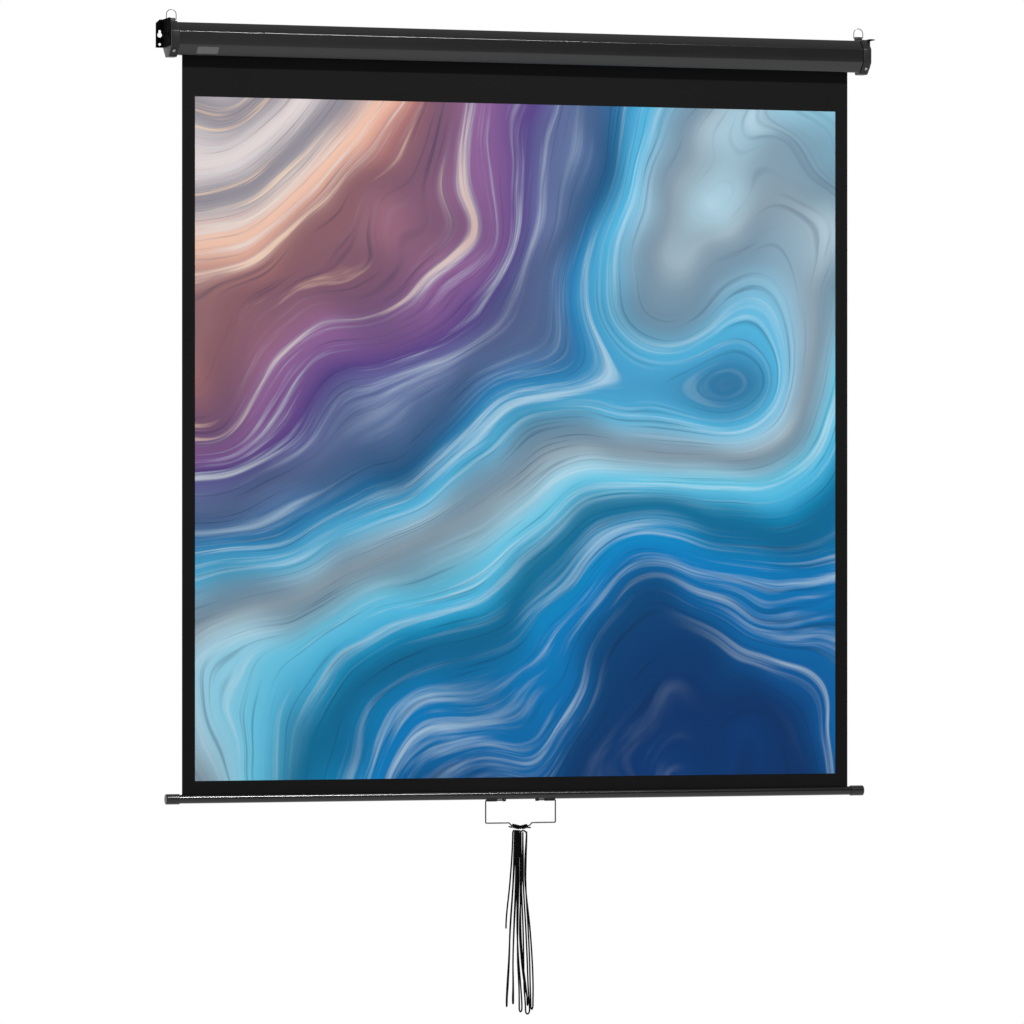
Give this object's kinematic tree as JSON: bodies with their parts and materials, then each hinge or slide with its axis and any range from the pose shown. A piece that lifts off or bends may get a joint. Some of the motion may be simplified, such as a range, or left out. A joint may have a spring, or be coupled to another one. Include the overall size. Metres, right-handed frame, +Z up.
{
  "type": "pull down projector screen",
  "caption": "Manual pull-down projector screen: square black-bordered cloth on a sprung roller in an eight-sided steel housing, with a weighted bar, wire handle and pull cord.",
  "frame": {"origin": "middle of the housing's flat back, on the wall plane and at the height of the housing's axis", "axes": "+X right along the housing, +Y back to the wall, +Z up"},
  "size_m": [1.694, 0.0755, 2.2546],
  "materials": {
    "case_steel": "satin black",
    "cap_plastic": "fine-grained black",
    "bracket_steel": "black powder coat",
    "bright_steel": "bright zinc",
    "grey_steel": "plain",
    "spring_steel": "oiled",
    "nylon": "natural",
    "screen_cloth": "matte screen surface",
    "black_cloth": "matte black",
    "black_cord": "braided"
  },
  "bodies": {
    "case": {"case_shell": "case_steel", "end_cap_left": "cap_plastic", "end_cap_right": "cap_plastic", "cap_screw_front_left": "bright_steel", "cap_screw_rear_left": "bright_steel", "cap_screw_front_right": "bright_steel", "cap_screw_rear_right": "bright_steel", "bracket_left": "bracket_steel", "bracket_screw_left": "bracket_steel", "bracket_right": "bracket_steel", "bracket_screw_right": "bracket_steel", "spring_shaft": "grey_steel", "ratchet_hub": "grey_steel", "torsion_spring": "spring_steel", "idler_pin": "grey_steel", "screen_fabric": "screen_cloth"},
    "roller": {"roller_tube": "grey_steel", "fabric_wrap": "black_cloth", "roller_head": "nylon", "spring_plug": "nylon", "idler_plug": "nylon", "idler_bush": "bright_steel"},
    "pawl_a": {"pawl_a": "grey_steel"},
    "pawl_b": {"pawl_b": "grey_steel"},
    "bottom_bar": {"bar_tube": "case_steel", "hem_rod": "grey_steel", "screen_hem": "black_cloth", "bar_cap_left": "cap_plastic", "bar_cap_right": "cap_plastic", "handle_clip_left": "grey_steel", "handle_clip_right": "grey_steel", "handle_keeper_left": "case_steel", "handle_keeper_right": "case_steel"},
    "handle": {"pull_handle": "grey_steel", "cord_lashing_left": "black_cord", "cord_lashing_right": "black_cord"},
    "cord": {"pull_cord": "black_cord"},
    "ring_left": {"hanging_ring_left": "bright_steel"},
    "ring_right": {"hanging_ring_right": "bright_steel"}
  },
  "joints": [
    {"name": "screen_travel", "type": "slide", "parent": "case", "child": "bottom_bar", "axis": [0, 0, 1], "range_m": [0, 1.636], "deforming": ["screen_fabric"]},
    {"name": "roller_turn", "type": "hinge", "parent": "case", "child": "roller", "pos_m": [0, -0.03951, 0], "axis": [1, 0, 0], "range_deg": [0, 4680]},
    {"name": "pawl_a_swing", "type": "hinge", "parent": "roller", "child": "pawl_a", "pos_m": [-0.8117, -0.03331, 0.01165], "axis": [1, 0, 0], "range_deg": [0, 15]},
    {"name": "pawl_b_swing", "type": "hinge", "parent": "roller", "child": "pawl_b", "pos_m": [-0.8117, -0.0457, -0.01165], "axis": [1, 0, 0], "range_deg": [0, 15]},
    {"name": "handle_swing", "type": "hinge", "parent": "bottom_bar", "child": "handle", "pos_m": [0, -0.021, -1.7014], "axis": [1, 0, 0], "range_deg": [-80, 80]},
    {"name": "cord_hang", "type": "hinge", "parent": "handle", "child": "cord", "pos_m": [0, -0.021, -1.7639], "axis": [1, 0, 0], "range_deg": [-80, 80]},
    {"name": "ring_left_fold", "type": "hinge", "parent": "case", "child": "ring_left", "pos_m": [-0.8175, -0.0245, 0.0435], "axis": [1, 0, 0], "range_deg": [-85, 85]},
    {"name": "ring_right_fold", "type": "hinge", "parent": "case", "child": "ring_right", "pos_m": [0.8175, -0.0245, 0.0435], "axis": [1, 0, 0], "range_deg": [-85, 85]}
  ],
  "couplings": [
    {"joint": "roller_turn", "follows": "screen_travel", "rad_per_m": 49.928},
    {"joint": "cord_hang", "follows": "handle_swing", "ratio": -1}
  ]
}
